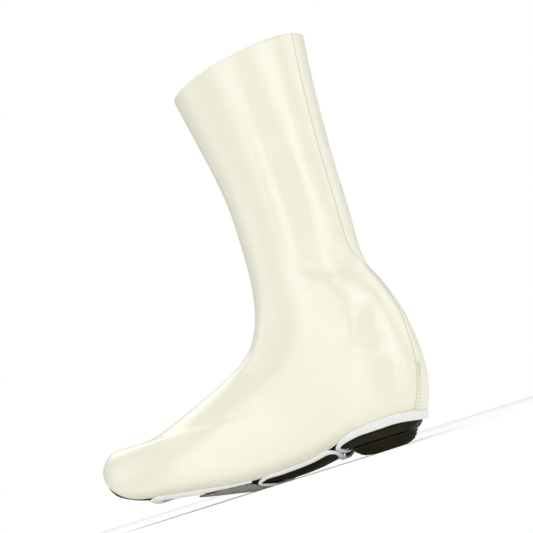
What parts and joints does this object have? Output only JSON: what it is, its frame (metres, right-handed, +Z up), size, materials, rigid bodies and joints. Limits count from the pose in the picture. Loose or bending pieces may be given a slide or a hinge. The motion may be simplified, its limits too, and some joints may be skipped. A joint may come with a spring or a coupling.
{
  "type": "rain overshoe",
  "caption": "Tall pull-on rain overshoe for the right foot: a coated stretch upper with a slanted collar and taped back seam, bound openings underneath, over a stiff black sole with a heel pad",
  "frame": {"origin": "on the floor, at the middle of the flat of the heel pad", "axes": "+X to the toe, +Y to the inner side of the foot, +Z up"},
  "size_m": [0.2864, 0.1053, 0.3371],
  "materials": {
    "coated_stretch_fabric": "smooth off-white coated stretch knit with a soft satin gloss",
    "seam_tape": "bonded off-white tape with a soft satin gloss",
    "elastic_binding": "matt pale grey-white folded elastic",
    "black_webbing": "matt black woven webbing",
    "grey_webbing": "matt mid-grey woven webbing",
    "sole_plastic": "moulded black plastic, semi-matt",
    "heel_rubber": "moulded black rubber, semi-matt, ribbed side"
  },
  "bodies": {
    "root": {"upper": "coated_stretch_fabric", "back_tape": "seam_tape", "heel_binding": "elastic_binding", "midfoot_binding": "elastic_binding", "forefoot_binding": "elastic_binding", "arch_web": "black_webbing", "ball_panel": "grey_webbing", "sole_plate": "sole_plastic", "heel_pad": "heel_rubber"}
  },
  "joints": []
}
